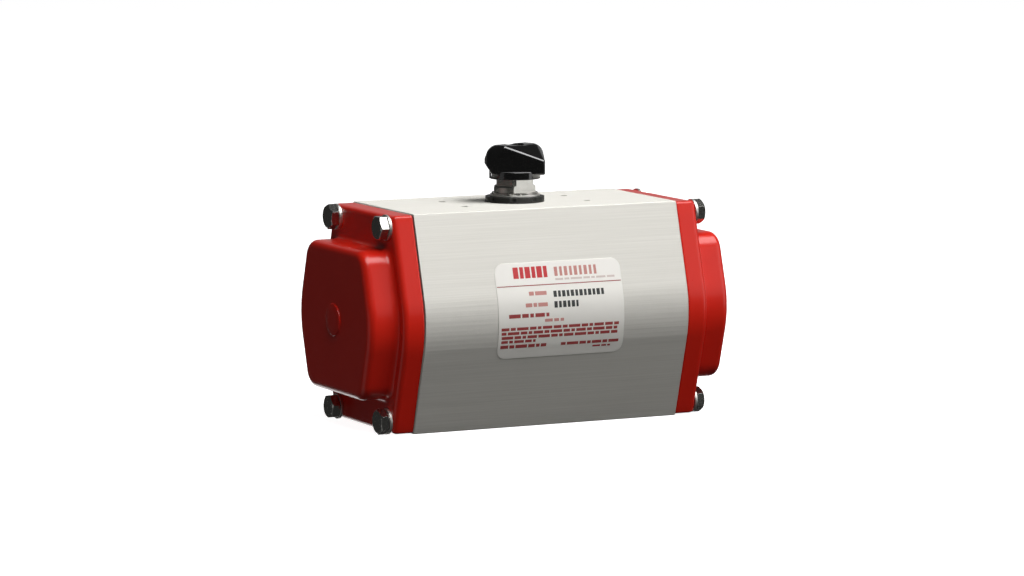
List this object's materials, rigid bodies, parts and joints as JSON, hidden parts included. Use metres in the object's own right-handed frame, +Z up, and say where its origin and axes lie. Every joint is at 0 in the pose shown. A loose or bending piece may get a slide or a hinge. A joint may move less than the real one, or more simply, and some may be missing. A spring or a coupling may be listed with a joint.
{
  "type": "rotary pneumatic actuator",
  "caption": "Double-acting rack-and-pinion quarter-turn actuator with a smooth aluminium body, red domed end caps, a star-shaped drive socket and a black position indicator.",
  "frame": {"origin": "centre of the bottom mounting face, on the pinion's axis", "axes": "+Z up along the pinion's axis, X along the cylinder bore, +Y towards the air connection pad, -Y towards the label"},
  "size_m": [0.2354, 0.1182, 0.1607],
  "materials": {
    "body_aluminium": "satin anodised, brushed along the bore",
    "cap_red": "gloss powder coat over die-cast aluminium",
    "cast_aluminium": "die cast, machined where it slides",
    "pinion_steel": "nickel-plated, turned",
    "cam_steel": "sintered, dark",
    "fastener_steel": "stainless, plain",
    "washer_steel": "bright stainless",
    "nitrile": "matt",
    "bearing_plastic": "natural acetal",
    "black_plastic": "satin moulded",
    "knob_plastic": "gloss moulded",
    "label_film": "printed film on thin plate"
  },
  "bodies": {
    "housing": {"body_extrusion": "body_aluminium", "left_end_cap": "cap_red", "right_end_cap": "cap_red", "left_cap_seal": "nitrile", "right_cap_seal": "nitrile", "left_cap_bolts": "fastener_steel", "right_cap_bolts": "fastener_steel", "left_cap_washers": "washer_steel", "right_cap_washers": "washer_steel", "pinion_upper_bearing": "bearing_plastic", "pinion_lower_bearing": "bearing_plastic", "top_thrust_collar": "black_plastic", "stop_nut_closed": "fastener_steel", "stop_nut_open": "fastener_steel", "stop_washer_closed": "washer_steel", "stop_washer_open": "washer_steel", "stop_seal_closed": "nitrile", "stop_seal_open": "nitrile", "air_port_plate": "body_aluminium", "port_plate_gasket": "nitrile", "port_plate_screws": "fastener_steel", "label_plate": "label_film"},
    "drive_shaft": {"pinion": "pinion_steel", "stop_cam": "cam_steel", "pinion_upper_oring": "nitrile", "pinion_lower_oring": "nitrile", "thrust_washer": "bearing_plastic", "top_washer": "washer_steel", "snap_ring": "fastener_steel", "indicator_knob": "knob_plastic", "indicator_screw": "fastener_steel"},
    "piston_left": {"left_piston": "cast_aluminium", "left_piston_oring": "nitrile", "left_guide_band": "bearing_plastic", "left_rack_wear_pad": "bearing_plastic"},
    "piston_right": {"right_piston": "cast_aluminium", "right_piston_oring": "nitrile", "right_guide_band": "bearing_plastic", "right_rack_wear_pad": "bearing_plastic"},
    "stop_closed": {"stop_screw_closed": "fastener_steel"},
    "stop_open": {"stop_screw_open": "fastener_steel"}
  },
  "joints": [
    {"name": "shaft_turn", "type": "hinge", "parent": "housing", "child": "drive_shaft", "pos_m": [0, 0, 0], "axis": [0, 0, 1], "range_deg": [-17, 73]},
    {"name": "left_piston_slide", "type": "slide", "parent": "housing", "child": "piston_left", "axis": [-1, 0, 0], "range_m": [-0.00536, 0.02295]},
    {"name": "right_piston_slide", "type": "slide", "parent": "housing", "child": "piston_right", "axis": [1, 0, 0], "range_m": [-0.00536, 0.02295]},
    {"name": "closed_stop_adjust", "type": "slide", "parent": "housing", "child": "stop_closed", "axis": [0, 1, 0], "range_m": [0, 0.0022]},
    {"name": "open_stop_adjust", "type": "slide", "parent": "housing", "child": "stop_open", "axis": [0, 1, 0], "range_m": [0, 0.0022]}
  ],
  "couplings": [
    {"joint": "left_piston_slide", "follows": "shaft_turn", "m_per_rad": 0.018},
    {"joint": "right_piston_slide", "follows": "shaft_turn", "m_per_rad": 0.018}
  ]
}
